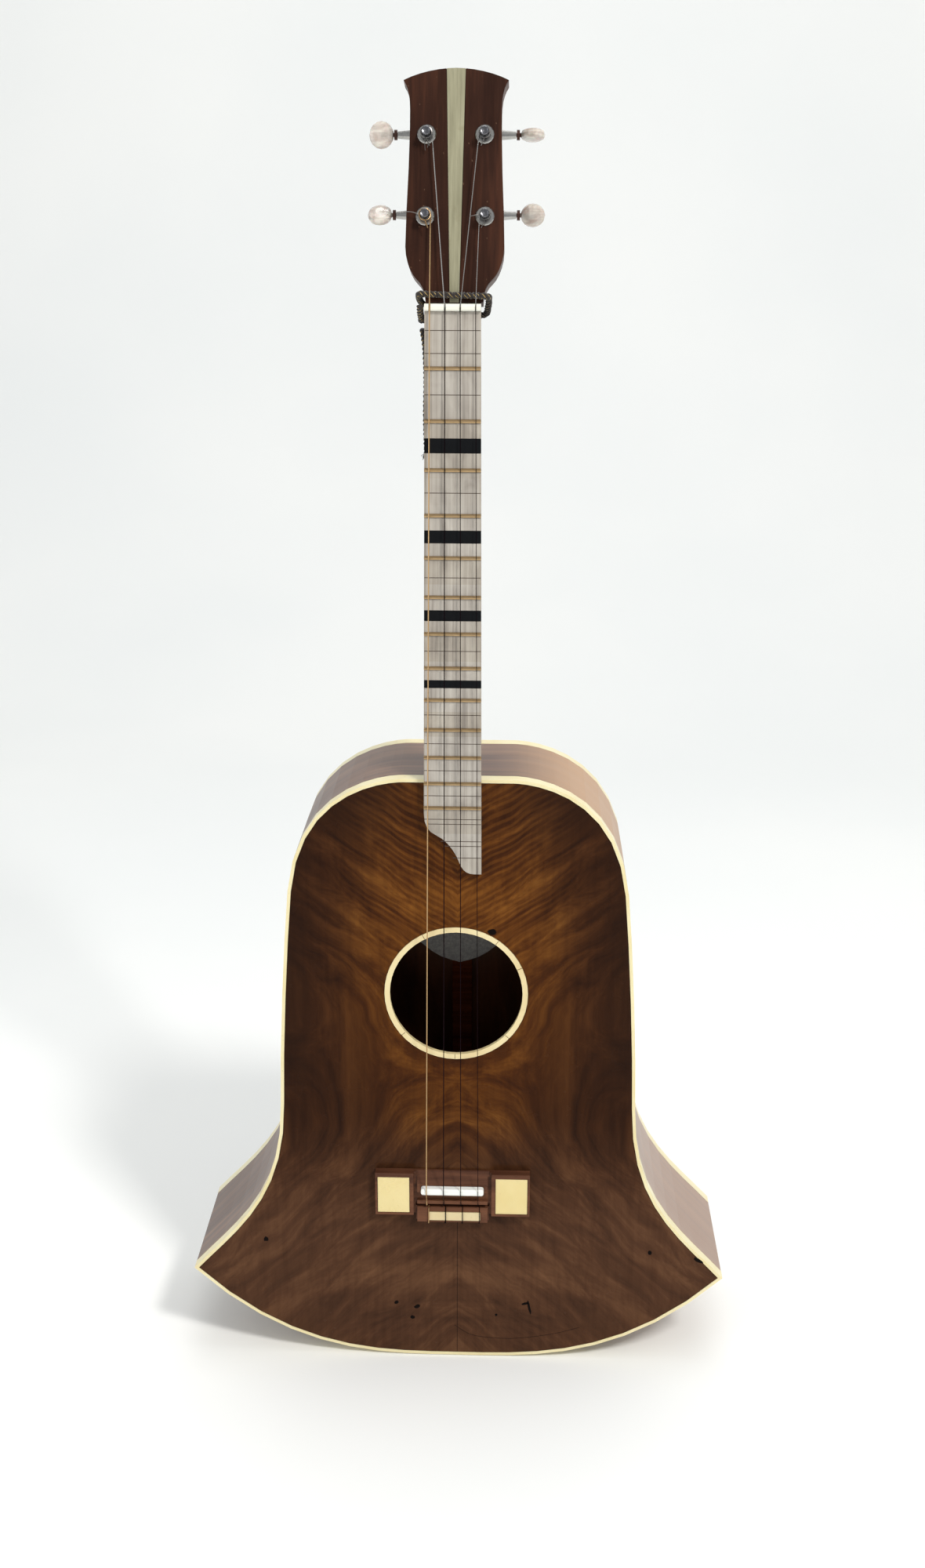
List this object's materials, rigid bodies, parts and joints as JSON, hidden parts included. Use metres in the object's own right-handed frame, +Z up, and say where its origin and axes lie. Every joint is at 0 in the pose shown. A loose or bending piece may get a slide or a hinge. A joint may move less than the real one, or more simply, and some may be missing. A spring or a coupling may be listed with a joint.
{
  "type": "tenor guitar",
  "caption": "Acoustic tenor guitar with a bell-shaped body, flared lower corners, round soundhole, wide wooden bridge with square inlays, pitched-back headstock and geared tuners that turn.",
  "frame": {"origin": "middle of the nut's lower edge, at the fingerboard's playing face, between the arms of a hanger under the headstock", "axes": "+Z up the neck towards the headstock, the soundboard faces -Y, +X to the treble side"},
  "size_m": [0.3724, 0.1259, 0.8596],
  "materials": {
    "neck": "lacquered",
    "soundboard": "gloss lacquer, sunburst",
    "ring": "aged cream",
    "back": "lacquered",
    "binding": "aged cream",
    "ribs": "lacquered",
    "block": "bare",
    "brace": "bare",
    "back_strip": "bare",
    "head_veneer": "lacquered",
    "head_stripe": "lacquered",
    "board_tiles": "polished tiles",
    "position_band": "black",
    "fret": "polished",
    "nut": "bone",
    "bridge": "satin",
    "bridge_inlay": "aged cream",
    "saddle": "bone",
    "tie_bar": "aged cream",
    "tuner_chrome": "polished",
    "string_bronze": "wound",
    "string_steel": "wound",
    "cord": "twisted",
    "tuner_post": "polished",
    "tuner_worm": "oiled",
    "tuner_button": "pearl"
  },
  "bodies": {
    "guitar": {"neck": "neck", "soundboard": "soundboard", "soundhole_ring": "ring", "back_plate": "back", "binding_front": "binding", "binding_back": "binding", "side_bass": "ribs", "side_treble": "ribs", "side_bottom": "ribs", "neck_block": "block", "top_bracing": "brace", "back_bracing": "back_strip", "head_veneer": "head_veneer", "head_stripe": "head_stripe", "fingerboard": "board_tiles", "position_band_3": "position_band", "position_band_5": "position_band", "position_band_7": "position_band", "position_band_9": "position_band", "fret_01": "fret", "fret_02": "fret", "fret_03": "fret", "fret_04": "fret", "fret_05": "fret", "fret_06": "fret", "fret_07": "fret", "fret_08": "fret", "fret_09": "fret", "fret_10": "fret", "fret_11": "fret", "fret_12": "fret", "fret_13": "fret", "nut": "nut", "bridge": "bridge", "bridge_inlay_bass": "bridge_inlay", "bridge_inlay_treble": "bridge_inlay", "saddle": "saddle", "tie_bar": "tie_bar", "tuner_1_housing": "tuner_chrome", "tuner_2_housing": "tuner_chrome", "tuner_3_housing": "tuner_chrome", "tuner_4_housing": "tuner_chrome", "string_1": "string_bronze", "string_2": "string_steel", "string_3": "string_steel", "string_4": "string_steel", "strap_cord_wrap": "cord", "strap_cord_tail": "cord"},
    "tuner_1_key": {"tuner_1_worm": "tuner_worm", "tuner_1_button": "tuner_button"},
    "tuner_1_spindle": {"tuner_1_post": "tuner_post"},
    "tuner_2_key": {"tuner_2_worm": "tuner_worm", "tuner_2_button": "tuner_button"},
    "tuner_2_spindle": {"tuner_2_post": "tuner_post"},
    "tuner_3_key": {"tuner_3_worm": "tuner_worm", "tuner_3_button": "tuner_button"},
    "tuner_3_spindle": {"tuner_3_post": "tuner_post"},
    "tuner_4_key": {"tuner_4_worm": "tuner_worm", "tuner_4_button": "tuner_button"},
    "tuner_4_spindle": {"tuner_4_post": "tuner_post"}
  },
  "joints": [
    {"name": "tuner_1_turn", "type": "hinge", "parent": "guitar", "child": "tuner_1_key", "pos_m": [-0.0168, 0.03784, 0.0539], "axis": [-1, 0, 0], "continuous": true},
    {"name": "tuner_1_wind", "type": "hinge", "parent": "guitar", "child": "tuner_1_spindle", "pos_m": [-0.0168, 0.01556, 0.0534], "axis": [0, -0.9744, 0.225], "continuous": true},
    {"name": "tuner_2_turn", "type": "hinge", "parent": "guitar", "child": "tuner_2_key", "pos_m": [-0.0162, 0.04837, 0.0995], "axis": [-1, 0, 0], "continuous": true},
    {"name": "tuner_2_wind", "type": "hinge", "parent": "guitar", "child": "tuner_2_spindle", "pos_m": [-0.0162, 0.02609, 0.099], "axis": [0, -0.9744, 0.225], "continuous": true},
    {"name": "tuner_3_turn", "type": "hinge", "parent": "guitar", "child": "tuner_3_key", "pos_m": [0.0178, 0.04837, 0.0995], "axis": [1, 0, 0], "continuous": true},
    {"name": "tuner_3_wind", "type": "hinge", "parent": "guitar", "child": "tuner_3_spindle", "pos_m": [0.0178, 0.02609, 0.099], "axis": [0, -0.9744, 0.225], "continuous": true},
    {"name": "tuner_4_turn", "type": "hinge", "parent": "guitar", "child": "tuner_4_key", "pos_m": [0.0184, 0.03784, 0.0539], "axis": [1, 0, 0], "continuous": true},
    {"name": "tuner_4_wind", "type": "hinge", "parent": "guitar", "child": "tuner_4_spindle", "pos_m": [0.0184, 0.01556, 0.0534], "axis": [0, -0.9744, 0.225], "continuous": true}
  ],
  "couplings": [
    {"joint": "tuner_1_wind", "follows": "tuner_1_turn", "ratio": -0.071429},
    {"joint": "tuner_2_wind", "follows": "tuner_2_turn", "ratio": -0.071429},
    {"joint": "tuner_3_wind", "follows": "tuner_3_turn", "ratio": 0.071429},
    {"joint": "tuner_4_wind", "follows": "tuner_4_turn", "ratio": 0.071429}
  ]
}
